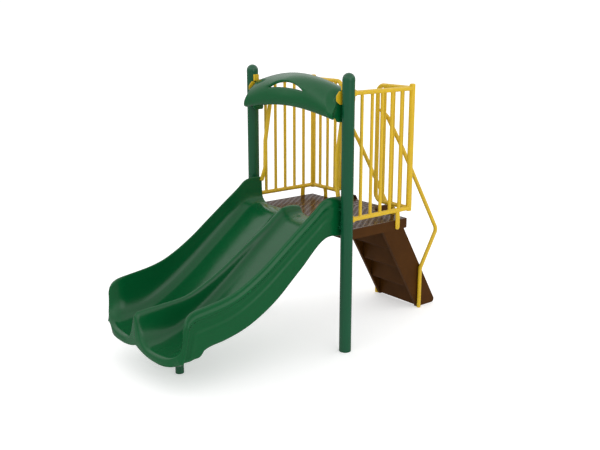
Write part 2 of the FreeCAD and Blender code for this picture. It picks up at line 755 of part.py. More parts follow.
DOC.recompute()
for obj in DOC.Objects:
    if "Invalid" in obj.State or "Error" in obj.State:
        raise RuntimeError(f"{obj.Name} did not build: {obj.State}")
os.makedirs("parts", exist_ok=True)
for obj in EXPORTS:
    shape = obj.Shape
    if shape.isNull() or not shape.isValid() or not shape.Solids:
        raise RuntimeError(f"{obj.Label} has no valid solid")
    shape.exportStep(f"parts/{obj.Label}.step")
    bounds = shape.optimalBoundingBox(False)
    print(f"{obj.Label:22} {len(shape.Solids)} solids {shape.Volume / 1e3:9.1f} cm3  "
          f"x {bounds.XMin:7.1f} {bounds.XMax:7.1f}  y {bounds.YMin:7.1f} {bounds.YMax:7.1f}  "
          f"z {bounds.ZMin:7.1f} {bounds.ZMax:7.1f}")
print(len(EXPORTS), "nodes")
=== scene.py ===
import math

import bmesh
import bpy
import numpy as np
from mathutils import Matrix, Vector


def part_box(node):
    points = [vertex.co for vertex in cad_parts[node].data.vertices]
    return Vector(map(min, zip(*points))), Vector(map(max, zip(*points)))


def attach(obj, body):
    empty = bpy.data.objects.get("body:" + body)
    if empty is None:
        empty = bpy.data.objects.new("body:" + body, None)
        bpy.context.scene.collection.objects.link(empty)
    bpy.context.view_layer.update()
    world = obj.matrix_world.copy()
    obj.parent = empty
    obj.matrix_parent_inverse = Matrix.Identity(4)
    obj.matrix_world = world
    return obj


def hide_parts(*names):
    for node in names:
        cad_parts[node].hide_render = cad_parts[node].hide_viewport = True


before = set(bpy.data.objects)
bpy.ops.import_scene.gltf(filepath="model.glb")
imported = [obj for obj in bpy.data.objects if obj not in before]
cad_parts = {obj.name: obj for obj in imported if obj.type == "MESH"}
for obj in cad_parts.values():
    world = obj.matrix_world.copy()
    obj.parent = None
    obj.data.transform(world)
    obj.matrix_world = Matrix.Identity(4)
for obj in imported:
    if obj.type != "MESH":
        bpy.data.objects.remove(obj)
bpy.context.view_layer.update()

# The frame is in metres. Shapes are written in millimetres, with stations measured along Y from the
# plane of the two posts.
MM = 0.001
POST_STATION = 49.75
SIDES = {"right": 1, "left": -1}


# --- mesh helpers --------------------------------------------------------------------------------

def metres(points):
    """Station millimetres to frame metres."""
    points = np.asarray(points, float).reshape(-1, 3).copy()
    points[:, 1] += POST_STATION
    return points * MM


def piece(name, points, faces, material, nodes=(), sharp=35):
    """One visible mesh on the root body, standing for the CAD nodes named."""
    mesh = bpy.data.meshes.new(name)
    mesh.from_pydata(metres(points).tolist(), [], [list(map(int, f)) for f in faces])
    work = bmesh.new()
    work.from_mesh(mesh)
    bmesh.ops.remove_doubles(work, verts=work.verts, dist=2e-5)
    bmesh.ops.dissolve_degenerate(work, edges=work.edges, dist=1e-6)
    bmesh.ops.recalc_face_normals(work, faces=work.faces)
    work.to_mesh(mesh)
    work.free()
    mesh.shade_smooth()
    mesh.set_sharp_from_angle(angle=math.radians(sharp))
    mesh.materials.append(material)
    obj = bpy.data.objects.new(name, mesh)
    bpy.context.scene.collection.objects.link(obj)
    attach(obj, "root")
    if nodes:
        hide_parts(*nodes)
    return obj


class Builder:
    """Collects points and faces of several closed forms."""

    def __init__(self):
        self.points = []
        self.faces = []

    def add(self, points, faces):
        start = len(self.points)
        self.points.extend([tuple(p) for p in points])
        self.faces.extend([[i + start for i in f] for f in faces])

    def grid(self, rows, closed=False, cap_start=False, cap_end=False):
        """Skin over rows of points; closed joins each row's ends."""
        rows = [list(map(tuple, r)) for r in rows]
        count = len(rows[0])
        points = [p for r in rows for p in r]
        faces = []
        span = count if closed else count - 1
        for i in range(len(rows) - 1):
            for j in range(span):
                k = (j + 1) % count
                faces.append([i * count + j, i * count + k, (i + 1) * count + k, (i + 1) * count + j])
        if cap_start:
            faces.append(list(range(count))[::-1])
        if cap_end:
            faces.append([(len(rows) - 1) * count + j for j in range(count)])
        self.add(points, faces)


def fillet_path(points, bend, steps=10):
    """Straight runs joined by arcs of one bend radius."""
    points = [Vector(p) for p in points]
    path = [points[0]]
    for before, corner, after in zip(points, points[1:], points[2:]):
        inward = (before - corner).normalized()
        outward = (after - corner).normalized()
        half = (math.pi - inward.angle(outward)) / 2
        if half < 0.01:
            path.append(corner)
            continue
        tangent = bend * math.tan(half)
        centre = corner + (inward + outward).normalized() * (bend / math.cos(half))
        first = corner + inward * tangent - centre
        last = corner + outward * tangent - centre
        turn = first.angle(last)
        for i in range(steps + 1):
            share = i / steps
            arm = (first * math.sin((1 - share) * turn) + last * math.sin(share * turn)) / math.sin(turn)
            path.append(centre + arm)
    path.append(points[-1])
    return path


def sweep(builder, path, radii, sides=24):
    """Tube along a path. radii is one number or one per point; the ends are closed."""
    path = [Vector(p) for p in path]
    if not isinstance(radii, (list, tuple)):
        radii = [radii] * len(path)
    tangents = []
    for i in range(len(path)):
        a = path[max(i - 1, 0)]
        b = path[min(i + 1, len(path) - 1)]
        tangents.append((b - a).normalized())
    reference = Vector((0, 0, 1)) if abs(tangents[0].z) < 0.9 else Vector((1, 0, 0))
    side = tangents[0].cross(reference).normalized()
    rows = []
    for i, (point, tangent) in enumerate(zip(path, tangents)):
        side = (side - tangent * side.dot(tangent)).normalized()
        up = tangent.cross(side)
        row = []
        for j in range(sides):
            angle = 2 * math.pi * j / sides
            row.append(point + (side * math.cos(angle) + up * math.sin(angle)) * radii[i])
        rows.append(row)
    builder.grid(rows, closed=True, cap_start=True, cap_end=True)


def lathe(builder, base, axis, profile, sides=32):
    """Turned form about a line: profile is (distance along the axis, radius)."""
    axis = Vector(axis).normalized()
    reference = Vector((0, 0, 1)) if abs(axis.z) < 0.9 else Vector((1, 0, 0))
    side = axis.cross(reference).normalized()
    up = axis.cross(side)
    base = Vector(base)
    turns = [2 * math.pi * j / sides for j in range(sides)]
    rows = []
    for along, radius in profile:
        centre = base + axis * along
        reach = max(radius, 0.02)
        rows.append([centre + (side * math.cos(turn) + up * math.sin(turn)) * reach for turn in turns])
    builder.grid(rows, closed=True, cap_start=True, cap_end=True)


def extrude(builder, outline, direction, edge=1.5):
    """Plate from a closed outline, with its rims eased by a small chamfer."""
    outline = [Vector(p) for p in outline]
    direction = Vector(direction)
    normal = direction.normalized()
    centre = sum(outline, Vector()) / len(outline)
    count = len(outline)
    inset = []
    for i, p in enumerate(outline):
        before = normal.cross(p - outline[i - 1]).normalized()
        after = normal.cross(outline[(i + 1) % count] - p).normalized()
        inward = before + after
        inward = inward.normalized() if inward.length > 1e-6 else before
        if inward.dot(centre - p) < 0:
            inward = -inward
        scale = 1 / max(0.5, abs(inward.dot(before)))
        inset.append(p + inward * edge * scale)
    rows = [inset, [p + normal * edge for p in outline],
            [p + direction - normal * edge for p in outline], [p + direction for p in inset]]
    builder.grid(rows, closed=True, cap_start=True, cap_end=True)


def hermite(table, where):
    """Smooth curve through (position, value) pairs; where is an array of positions."""
    table = sorted(table)
    xs = np.array([p for p, _ in table], float)
    ys = np.array([v for _, v in table], float)
    slopes = np.gradient(ys, xs)
    where = np.clip(np.asarray(where, float), xs[0], xs[-1])
    k = np.clip(np.searchsorted(xs, where) - 1, 0, len(xs) - 2)
    width = xs[k + 1] - xs[k]
    t = (where - xs[k]) / width
    return ((2 * t**3 - 3 * t**2 + 1) * ys[k] + (t**3 - 2 * t**2 + t) * width * slopes[k]
            + (-2 * t**3 + 3 * t**2) * ys[k + 1] + (t**3 - t**2) * width * slopes[k + 1])


def smoothstep(a, b, x):
    """0 before a, 1 past b and an even S between them."""
    t = np.clip((np.asarray(x, float) - a) / (b - a), 0, 1)
    return t * t * (3 - 2 * t)


# --- materials -----------------------------------------------------------------------------------

GLOSS_SPREAD = 0.05
GRAIN_HEIGHT = 0.0006


def coated(name, colour, rough, mottle, grain, grain_depth, painted_edge_highlight, mottle_scale=3.0, specular=0.5):
    """Procedural finish: mottled colour, uneven gloss, fine grain, and convex edges painted lighter as a
    highlight.
    """
    material = bpy.data.materials.new(name)
    material.use_nodes = True
    tree = material.node_tree
    nodes = tree.nodes
    links = tree.links
    shader = nodes["Principled BSDF"]
    shader.inputs["Specular IOR Level"].default_value = specular
    place = nodes.new("ShaderNodeTexCoord")

    def noise(scale, detail):
        node = nodes.new("ShaderNodeTexNoise")
        node.inputs["Scale"].default_value = scale
        node.inputs["Detail"].default_value = detail
        node.inputs["Roughness"].default_value = 0.55
        links.new(place.outputs["Object"], node.inputs["Vector"])
        return node

    def remap(source, low, high, to_low, to_high):
        node = nodes.new("ShaderNodeMapRange")
        node.inputs["From Min"].default_value = low
        node.inputs["From Max"].default_value = high
        node.inputs["To Min"].default_value = to_low
        node.inputs["To Max"].default_value = to_high
        links.new(source, node.inputs["Value"])
        return node.outputs["Result"]

    def mix(factor, first, second):
        node = nodes.new("ShaderNodeMix")
        node.data_type = "RGBA"
        links.new(factor, node.inputs[0])
        for socket, value in zip([s for s in node.inputs if s.type == "RGBA"], (first, second)):
            if isinstance(value, tuple):
                socket.default_value = (*value, 1)
            else:
                links.new(value, socket)
        return next(s for s in node.outputs if s.type == "RGBA")

    broad = noise(mottle_scale, 4)
    dark = tuple(c * (1 - mottle) for c in colour)
    light = tuple(min(1, c * (1 + mottle)) for c in colour)
    base = mix(remap(broad.outputs["Fac"], 0.3, 0.7, 0, 1), dark, light)
    fine = noise(mottle_scale * 22, 3)
    speck = tuple(min(1, c * 1.12 + 0.002) for c in colour)
    base = mix(remap(fine.outputs["Fac"], 0.56, 0.78, 0, 0.45), base, speck)
    # painted highlight: convex edges, found by pointiness, are mixed toward a lighter colour
    shape = nodes.new("ShaderNodeNewGeometry")
    highlight_colour = tuple(min(1, c * 1.3 + 0.03) for c in colour)
    base = mix(remap(shape.outputs["Pointiness"], 0.54, 0.68, 0, painted_edge_highlight), base, highlight_colour)
    links.new(base, shader.inputs["Base Color"])
    gloss = noise(mottle_scale * 5, 5)
    uneven = remap(gloss.outputs["Fac"], 0.25, 0.75, rough - GLOSS_SPREAD, rough + GLOSS_SPREAD)
    links.new(uneven, shader.inputs["Roughness"])
    peel = noise(grain, 2)
    bump = nodes.new("ShaderNodeBump")
    bump.inputs["Strength"].default_value = grain_depth
    bump.inputs["Distance"].default_value = GRAIN_HEIGHT
    links.new(peel.outputs["Fac"], bump.inputs["Height"])
    links.new(bump.outputs["Normal"], shader.inputs["Normal"])
    return material


MOULDED = coated("moulded_green", (0.0012, 0.086, 0.0235), 0.21, mottle=0.05, mottle_scale=2.5,
                 grain=700, grain_depth=0.05, painted_edge_highlight=0.03, specular=0.33)
POST_GREEN = coated("powder_green", (0.004, 0.080, 0.032), 0.22, mottle=0.05, grain=1400,
                    grain_depth=0.08, painted_edge_highlight=0.1)
YELLOW = coated("powder_yellow", (0.68, 0.44, 0.012), 0.30, mottle=0.04, mottle_scale=5, grain=1500,
                grain_depth=0.08, painted_edge_highlight=0.15)
BROWN = coated("vinyl_brown", (0.066, 0.023, 0.0022), 0.45, mottle=0.12, mottle_scale=7, grain=520,
               grain_depth=0.22, painted_edge_highlight=0.06, specular=0.08)
DECKING = coated("vinyl_deck", (0.060, 0.021, 0.004), 0.2, mottle=0.12, mottle_scale=9, grain=480,
                 grain_depth=0.18, painted_edge_highlight=0.1, specular=0.34)


# --- posts ---------------------------------------------------------------------------------------

POST_X = 560.5
POST_R = 44.45
CAP_JOINT = 1979
UP = (0, 0, 1)

for side, sign in SIDES.items():
    tube = Builder()
    profile = [(0, 41), (0, 43.2), (1.2, 44.3), (3, POST_R)]
    profile += [(z, POST_R) for z in range(60, 1960, 100)]
    profile += [(CAP_JOINT, POST_R), (CAP_JOINT, 40)]
    lathe(tube, (sign * POST_X, 0, 0), UP, profile, sides=64)
    piece(f"{side}_post", tube.points, tube.faces, POST_GREEN, [f"{side}_post"])
    cap = Builder()
    skirt = [(1966, 43.5), (1966, 44.9), (1967, 45.25), (1976, 45.25), (1978.5, 44.9)]
    dome = [(1980 + 44.3 * math.sin(a), 44.6 * math.cos(a)) for a in np.linspace(0, math.pi / 2, 18)]
    lathe(cap, (sign * POST_X, 0, 0), UP, skirt + dome, sides=64)
    piece(f"{side}_post_cap", cap.points, cap.faces, POST_GREEN, [f"{side}_post_cap"], 50)


# --- slide ---------------------------------------------------------------------------------------

WALL_CREST = [(12, 1148), (-100, 1152), (-150, 1138), (-220, 1084), (-350, 990), (-500, 880), (-650, 770),
              (-800, 679), (-900, 632), (-1000, 603), (-1100, 586), (-1190, 574), (-1235, 567), (-1265, 558),
              (-1292, 543), (-1314, 518), (-1330, 487), (-1342, 452), (-1412, 452)]
LANE_FLOOR = [(12, 938), (-50, 945), (-110, 942), (-180, 914), (-300, 828), (-500, 672), (-700, 518),
              (-850, 415), (-990, 337), (-1120, 285), (-1280, 256), (-1412, 247)]
DIVIDER = [(12, 1000), (-60, 1010), (-120, 1006), (-300, 893), (-500, 764), (-780, 590), (-1000, 496),
           (-1180, 478), (-1330, 470), (-1412, 462)]
SIDE_HEM = [(12, 864), (-127, 874), (-376, 677), (-598, 494), (-813, 377), (-1018, 324), (-1150, 306),
            (-1175, 294), (-1195, 268), (-1256, 254), (-1300, 248), (-1350, 240), (-1412, 236)]
BELLY = 60.0
LANE_MIDDLE = 225.0
WALL_INNER = 466.0
SIDE_OUTER = 505.0
ENTRY = 12.0
# The rim's front edge: in the lanes, at the walls' tops, and on the outer skin of the walls.
EXIT = -1410.0
RIM_EXIT = -1340.0
SIDE_EXIT = -1322.0
EXIT_POWER = 7
# The front edge of the outer skin leans back as it rises over this drop.
SIDE_LEAN = 40
LEAN_TOP, LEAN_DROP = 460, 210
WARP_START = -900.0
WARP_SHARE = 0.93
# The channel's section changes from its entry form to its run, and from its run to its exit form.
ENTRY_BLEND = (-340, -90)
EXIT_BLEND = (-1000, -1370)
# At the exit the rim rolls over: its radius, how far it drops in the lanes and at the walls, and how far
# it spreads at the walls' inner edge and on their crest.
LIP_ROLL = 36.0
LIP_DROP, WALL_LIP_DROP = 34, 2
LIP_SPREAD, CREST_LIP_SPREAD = 8, 10
# At the entry it is only eased.
ENTRY_ROLL = 9.0
ENTRY_DROP = 6
ENTRY_SPREAD = 5
# The walls lean outward over the last stretch.
FLARE = 44.0
FLARE_RUN = 120.0
# The outer skin's beads run closer together where they turn down along the front edge.
BEAD_START = 10.0
BEAD_CROWDING = 1.9
# Outer side: distance from the rim against distance from the middle of the slide.
RIM_PROFILE = [(0, 473), (2, 478), (8, 482.5), (18, 485), (30, 488), (44, 497), (54, 499.5), (62, 497.5),
               (74, 489), (86, 486.5), (98, 490), (114, 494), (132, 496), (146, 501), (158, 505),
               (170, 506), (200, 505), (400, 505)]
# The same beside the post, where the beads fade out.
WING_PROFILE = [(0, 473), (10, 486), (30, 497), (60, 503), (120, 505), (400, 505)]
CORNER_EASE = 9.0
HEM_TUCK = 4
HEM_ROLL = 12
SKIRT_ROWS = 14
# The underside takes over the front edge of the outer skin between these two distances.
UNDER_CORNER = 440
UNDER_OUTER = 495
HEM_EXIT = 262
UNDER_ROLL, UNDER_LIFT = 10, 6
# How much the underside rises toward the middle along the run, and how much more at the exit.
MIDDLE_RISE, EXIT_RISE = 18, 22


def exit_line(x):
    """How far forward the rim stands at each distance from the middle."""
    return EXIT + (RIM_EXIT - EXIT) * np.clip(np.abs(x) / WALL_INNER, 0, 1.05) ** EXIT_POWER


def stations_list():
    """Stations of the slide's cross-sections, closest together at the entry and at the rolled lip."""
    ease = [12, 9, 4, -3, -12, -25, -40, -55, -70, -85, -100, -115, -130, -145, -160, -175, -190]
    body = list(np.arange(-208, -1100, -18.0))
    front = list(np.linspace(-1108, EXIT + LIP_ROLL, 36))
    lip = [EXIT + 30 * (1 - math.sin(a)) for a in np.linspace(0, math.pi / 2, 9)]
    return np.array(ease + body + front + lip)


STATIONS = stations_list()


def warp(stations, line):
    """Pull the last stretch of a lengthwise row back so that it ends on the exit line."""
    ease = np.clip((WARP_START - stations) / (WARP_START - EXIT), 0, 1)
    # the last 36 mm keep their spacing, so that the rolled lip has one radius all round
    keep = smoothstep(0, 1, np.clip(ease / WARP_SHARE, 0, 1))
    return stations + (line - EXIT) * keep


def roll(y, line, radius):
    """0 behind the rim's roll, 1 at the rim."""
    d = np.clip((y - line) / radius, 0, 1)
    return 1 - np.sqrt(np.clip(1 - (1 - d) ** 2, 0, 1))


# Half of the channel's cross-section, from the middle of the divider to the lane's middle as
# (distance from the middle, share of the divider's height), and on to the wall's top edge as
# (distance, share of the wall's height). Each has three forms: at the exit, along the run, at the entry.
RIB_EXIT = [(0, 1), (6, .985), (12, .95), (18, .90), (24, .83), (30, .74), (36, .65), (43, .56), (51, .47),
            (60, .385), (71, .30), (84, .22), (100, .14), (120, .075), (145, .028), (180, .004), (225, 0)]
RIB_RUN = [(0, 1), (5, .995), (10, .975), (15, .94), (20, .88), (25, .79), (29, .69), (33, .58), (37, .47),
           (43, .35), (51, .24), (62, .14), (77, .065), (97, .02), (125, .003), (170, 0), (225, 0)]
WALL_EXIT = [(255, .004), (290, .012), (320, .026), (345, .046), (365, .072), (382, .104), (397, .14),
             (410, .18), (421, .225), (431, .275), (439, .33), (446, .39), (452, .455), (456.5, .525),
             (460, .60), (462, .68), (463.5, .76), (465, .84), (465.5, .92), (466, 1)]
WALL_RUN = [(262, 0), (300, 0), (335, .003), (358, .010), (376, .022), (391, .042), (404, .07), (416, .105),
            (426, .15), (435, .20), (442, .255), (448, .315), (453, .38), (457, .45), (460, .53),
            (462, .61), (463.5, .70), (464.5, .80), (465.3, .90), (466, 1)]
WALL_ENTRY = [(262, 0), (300, 0), (335, 0), (360, .004), (380, .012), (397, .028), (411, .052), (423, .085),
              (433, .122), (441, .16), (448, .20), (454, .245), (458, .30), (460.5, .37), (462, .46),
              (463, .57), (464, .68), (465, .79), (465.5, .90), (466, 1)]


def refine(table):
    """The same curve with a point between each two, for a smooth skin."""
    steps = np.arange(len(table))
    fine = np.arange(0, len(table) - 0.99, 0.5)
    return list(zip(hermite(list(zip(steps, [p[0] for p in table])), fine),
                    hermite(list(zip(steps, [p[1] for p in table])), fine)))


def flare(y, line, share):
    """Outward spread of the walls over the last stretch before the rim."""
    return FLARE * np.clip(1 - (y - line) / FLARE_RUN, 0, 1) ** 2.2 * share


def bead_reach(y, line):
    """Distance along the beads' profile at a gap behind the front edge."""
    return BEAD_START + BEAD_CROWDING * np.clip(y - line, 0, None)


def inner_rows():
    """Top surface from the middle of the divider to the wall's top edge."""
    rows = []
    rib = list(zip(refine(RIB_EXIT), refine(RIB_RUN), refine(RIB_RUN)))
    wall = list(zip(*(refine([(225, 0)] + t)[1:] for t in (WALL_EXIT, WALL_RUN, WALL_ENTRY))))
    for kind, forms in [("rib", f) for f in rib] + [("wall", f) for f in wall]:
        y = STATIONS.copy()
        for _ in range(3):
            front = smoothstep(*EXIT_BLEND, y)
            rear = smoothstep(*ENTRY_BLEND, y) if kind == "wall" else 0 * y
            weights = (front, 1 - front - rear, rear)
            x = sum(w * form[0] for w, form in zip(weights, forms))
            share = sum(w * form[1] for w, form in zip(weights, forms))
            line = exit_line(x)
            y = warp(STATIONS, line)
        floor = hermite(LANE_FLOOR, y)
        top = hermite(DIVIDER, y) if kind == "rib" else hermite(WALL_CREST, y) - 5
        z = floor + (top - floor) * share
        lip = roll(y, line, LIP_ROLL)
        steep = np.clip((x - 350) / 100, 0, 1)
        z = z - lip * (LIP_DROP * (1 - steep) + WALL_LIP_DROP * steep)
        x = x + flare(y, line, steep) + lip * LIP_SPREAD * steep
        edge = roll(-y, -ENTRY, ENTRY_ROLL)
        z = z - edge * ENTRY_DROP * (1 - steep)
        x = x + edge * ENTRY_SPREAD * steep
        rows.append(np.stack([x, y, z], 1))
    return rows


def crest_rows():
    """Narrow flat on top of the wall, from its inner edge to its outer skin."""
    rows = []
    for x, drop in ((467.2, 2.2), (469.2, 0.5), (471.5, 0.0)):
        line = exit_line(x) + (x - WALL_INNER) * 1.2
        y = warp(STATIONS, line)
        z = hermite(WALL_CREST, y) - drop
        lip = roll(y, line, LIP_ROLL)
        rows.append(np.stack([x + flare(y, line, 1) + lip * CREST_LIP_SPREAD, y, z - 6 * lip], 1))
    return rows


def side_line(z):
    """Front edge of the outer side, which leans a little."""
    return SIDE_EXIT - SIDE_LEAN * np.clip((LEAN_TOP - z) / LEAN_DROP, 0, 1.2)


def side_rows():
    """Outer side from the crest down to the hem; its beads keep their distance from the rim."""
    rows = []
    drops = [2, 5, 9, 14, 20, 27, 34, 41, 48, 55, 62, 69, 76, 84, 92, 100, 110, 120, 130, 139, 147, 154, 161,
             168, 176]
    total = len(drops) + SKIRT_ROWS
    for i in range(total):
        line = SIDE_EXIT
        y = STATIONS.copy()
        for _ in range(3):
            y = warp(STATIONS, line)
            crest = hermite(WALL_CREST, y)
            hem = hermite(SIDE_HEM, y)
            if i < len(drops):
                z = crest - drops[i]
            else:
                share = (i - len(drops) + 1) / (total - len(drops))
                z = crest - drops[-1] + (hem + 3 - crest + drops[-1]) * share
            line = side_line(z)
        down = crest - z
        nearer = np.exp(-bead_reach(y, line) / CORNER_EASE) + np.exp(-down / CORNER_EASE)
        reach = np.clip(-np.log(nearer) * CORNER_EASE, 0, None)
        x = hermite(RIM_PROFILE, reach)
        plain = smoothstep(-150, -70, y)
        x = x + (hermite(WING_PROFILE, reach) - x) * plain
        x = x - HEM_TUCK * smoothstep(0, 1, (hem + HEM_ROLL - z) / HEM_ROLL)
        edge = roll(-y, -ENTRY, ENTRY_ROLL)
        spread = flare(y, line, 1) * (1 - 0.5 * smoothstep(0.0, 1.0, (hem + 150 - z) / 160))
        rows.append(np.stack([x - edge * ENTRY_SPREAD + spread, y, z], 1))
    return rows


def under_rows():
    """From the hem across the underside to the middle."""
    rows = []
    for x in (499, 494, 486, 474, 460, 444, 426, 406, 384, 360, 334, 306, 276, 246, 216, 186, 158, 132, 108,
              86, 66, 48, 32, 18, 7, 0):
        line = exit_line(min(x, UNDER_CORNER))
        if x > UNDER_CORNER:
            share = min((x - UNDER_CORNER) / (UNDER_OUTER - UNDER_CORNER), 1)
            line = line * (1 - share) + side_line(HEM_EXIT) * share
        y = warp(STATIONS, line)
        floor = hermite(LANE_FLOOR, y)
        hem = hermite(SIDE_HEM, y)
        front = smoothstep(-1080, -1380, y)
        belly = floor - BELLY
        if x >= LANE_MIDDLE:
            share = (x - LANE_MIDDLE) / (SIDE_OUTER - LANE_MIDDLE)
            z = belly + (hem - belly) * share ** (2.4 + 1.4 * front)
        else:
            share = (LANE_MIDDLE - x) / LANE_MIDDLE
            z = belly + (MIDDLE_RISE + EXIT_RISE * front) * share**2.2
        lip = roll(y, line, UNDER_ROLL)
        side = np.clip((x - 400) / 70, 0, 1)
        z = z + lip * UNDER_LIFT
        edge = roll(-y, -ENTRY, ENTRY_ROLL)
        tuck = SIDE_OUTER - hermite(RIM_PROFILE, bead_reach(y, line))
        rows.append(np.stack([x + flare(y, line, 0.5 * side) - tuck * side, y, z + 5 * edge], 1))
    return rows


def zipper(first, second):
    """Triangles between two rows of points, given as lists of (index, point)."""
    faces = []
    i = j = 0
    while i < len(first) - 1 or j < len(second) - 1:
        step_first = i < len(first) - 1
        if step_first and j < len(second) - 1:
            a = np.linalg.norm(first[i + 1][1] - second[j][1])
            b = np.linalg.norm(first[i][1] - second[j + 1][1])
            step_first = a <= b
        if step_first:
            faces.append([first[i][0], first[i + 1][0], second[j][0]])
            i += 1
        else:
            faces.append([first[i][0], second[j + 1][0], second[j][0]])
            j += 1
    return faces


def build_slide():
    """One closed skin: the right half's rows, their mirror image, and the two ends zipped shut."""
    inner = inner_rows()
    right = inner + crest_rows() + side_rows() + under_rows()
    turn = len(inner) + 2
    left = [row * np.array([-1, 1, 1]) for row in right[-2:0:-1]]
    ring = right + left
    count = len(ring)
    columns = len(STATIONS)
    points = np.concatenate(ring)
    faces = []
    for i in range(count):
        k = (i + 1) % count
        for j in range(columns - 1):
            faces.append([i * columns + j, i * columns + j + 1, k * columns + j + 1, k * columns + j])
    last = len(right) - 1
    right_half = list(range(last + 1))
    left_half = [0] + list(range(count - 1, last, -1)) + [last]
    for column in (0, columns - 1):
        for half in (right_half, left_half):
            edge = [(i * columns + column, points[i * columns + column]) for i in half]
            faces += zipper(edge[:turn + 1], edge[:turn - 1:-1])
    piece("slide_bedway", points, faces, MOULDED, ["slide_bedway"], 60)


build_slide()

FOOT_X = 130
FOOT_STATION = -1149
FOOT_R = 30.2
FOOT_TOP = 236

for side, sign in SIDES.items():
    foot = Builder()
    profile = [(0, 27), (0, 29), (1.5, FOOT_R), (60, FOOT_R), (120, FOOT_R)]
    profile += [(FOOT_TOP, FOOT_R), (FOOT_TOP, 20)]
    lathe(foot, (sign * FOOT_X, FOOT_STATION, 0), UP, profile, sides=40)
    piece(f"{side}_slide_foot", foot.points, foot.faces, POST_GREEN, [f"{side}_slide_foot"])


# --- hood ----------------------------------------------------------------------------------------

# The outer skin from its front lower edge over the top to the back, in the middle and at the ends, as
# (station, share of the hood's height).
HOOD_SKIN = [(-94, 0.0), (-112, 0.05), (-124, 0.15), (-128, 0.29), (-124, 0.47), (-112, 0.65), (-90, 0.81),
             (-58, 0.925), (-20, 0.985), (15, 1.0), (47, 0.975)]
HOOD_END_SKIN = [(-92, 0.0), (-112, 0.04), (-126, 0.12), (-130, 0.23), (-124, 0.36), (-108, 0.50),
                 (-86, 0.66), (-56, 0.82), (-24, 0.935), (10, 0.995), (47, 0.975)]
# Height of the lower edge and of the top at the ends, and how much higher each is in the middle.
HOOD_LOW, HOOD_LOW_RISE = 1702, 55
HOOD_TOP, HOOD_TOP_RISE = 1908, 84
HOOD_HALF = 502
HOOD_FLARE = 21
HOOD_SKIN_THICK = 26
# The crease where an end turns back: where it starts at the lower edge, how far it leans in, how deep it
# is and how wide, and how far back the end runs behind it.
CREASE_X, CREASE_LEAN = 512, 92
CREASE_DEPTH, CREASE_WIDTH = 5, 9
END_SETBACK, END_RUN = 26, 62
# The slot: half the width that u covers, half its length, and where its tips and lips lie on the skin.
SLOT_SPAN = 512
SLOT_HALF = 196
SLOT_ENDS = 0.47
UPPER_LIP = 0.112
LOWER_LIP = 0.006
# Below the slot the skin sinks in and above it a brow stands out: how far, and over what half-length.
SINK, SINK_REACH = 10, 230
BROW, BROW_REACH = 16, 250


def hood_point(u, v):
    """Outer skin of the hood: u runs across, v from the front lower edge over the top to the back."""
    steps = np.linspace(0, 1, len(HOOD_SKIN))
    end = abs(u) ** 3
    middle, side = ([float(hermite(list(zip(steps, [p[k] for p in skin])), v)) for k in (0, 1)]
                    for skin in (HOOD_SKIN, HOOD_END_SKIN))
    station = middle[0] + (side[0] - middle[0]) * end
    share = middle[1] + (side[1] - middle[1]) * end
    arch = math.cos(u * math.pi / 2)
    low = HOOD_LOW + HOOD_LOW_RISE * arch
    top = HOOD_TOP + HOOD_TOP_RISE * arch
    x = u * (HOOD_HALF + HOOD_FLARE * float(smoothstep(-70, -118, station)))
    # Each end turns back toward its post behind a curved crease that leans outward as it falls.
    past = abs(x) - (CREASE_X - CREASE_LEAN * share**0.8)
    face = float(smoothstep(0.02, 0.12, share)) * (1 - float(smoothstep(0.78, 0.97, share)))
    setback = END_SETBACK * float(smoothstep(0, END_RUN, past))
    station += face * (setback - CREASE_DEPTH * math.exp(-(past / CREASE_WIDTH) ** 2))
    return [x, station, low + share * (top - low)]


def hood_slot(u, upper):
    """v of the slot's lip; both lips meet beyond its tips."""
    across = abs(u) * SLOT_SPAN / SLOT_HALF
    if across >= 1:
        return SLOT_ENDS
    bow = 1 - across**2
    return SLOT_ENDS + (UPPER_LIP * bow if upper else -LOWER_LIP * bow)


def build_hood():
    """Skin below and above the slot, thickened inward, with the slot's lips turned in and out."""
    # extra columns at the slot's tips and beside the ends
    extra = [-0.3828, 0.3828, -0.37, 0.37, -0.99, 0.99]
    us = sorted(set(np.round(np.concatenate([np.linspace(-1, 1, 57), extra]), 4)))
    lower = []
    upper = []
    for u in us:
        across = abs(u) * SLOT_SPAN
        split = hood_slot(u, False)
        sunk = SINK * (1 - min(across / SINK_REACH, 1))
        row = []
        for s in np.linspace(0, 1, 11):
            p = hood_point(u, split * s)
            p[1] += sunk * float(smoothstep(0.6, 1.0, s))
            row.append(p)
        lower.append(row)
        split = hood_slot(u, True)
        brow = BROW * (1 - min(across / BROW_REACH, 1)) ** 0.8
        row = []
        for s in np.linspace(0, 1, 14):
            p = hood_point(u, split + (1 - split) * s)
            p[1] -= brow * (1 - float(smoothstep(0.0, 0.45, s)))
            row.append(p)
        upper.append(row)
        if across >= SLOT_HALF - 0.1:
            row[0] = list(lower[-1][-1])
    builder = Builder()
    builder.grid(lower)
    builder.grid(upper)
    hood = piece("hood", builder.points, builder.faces, MOULDED, ["hood"], 80)
    shell = hood.modifiers.new("skin", "SOLIDIFY")
    shell.thickness = HOOD_SKIN_THICK * MM
    shell.offset = -1
    shell.use_even_offset = False
    soft = hood.modifiers.new("soft", "SUBSURF")
    soft.levels = 2
    soft.render_levels = 2


build_hood()

HOOD_END = [(-88, 1716), (-98, 1790), (-76, 1842), (-40, 1872), (4, 1886), (43, 1882), (43, 1700), (38, 1682),
            (-36, 1682), (-50, 1708)]


def rounded_outline(points, radius, steps=5):
    """Outline whose corners are eased by short parabolas."""
    result = []
    count = len(points)
    for i in range(count):
        before, corner, after = (Vector(points[(i + k) % count]) for k in (-1, 0, 1))
        for j in range(steps + 1):
            t = j / steps
            a = corner + (before - corner).normalized() * radius
            b = corner + (after - corner).normalized() * radius
            result.append((1 - t) ** 2 * a + 2 * t * (1 - t) * corner + t**2 * b)
    return result


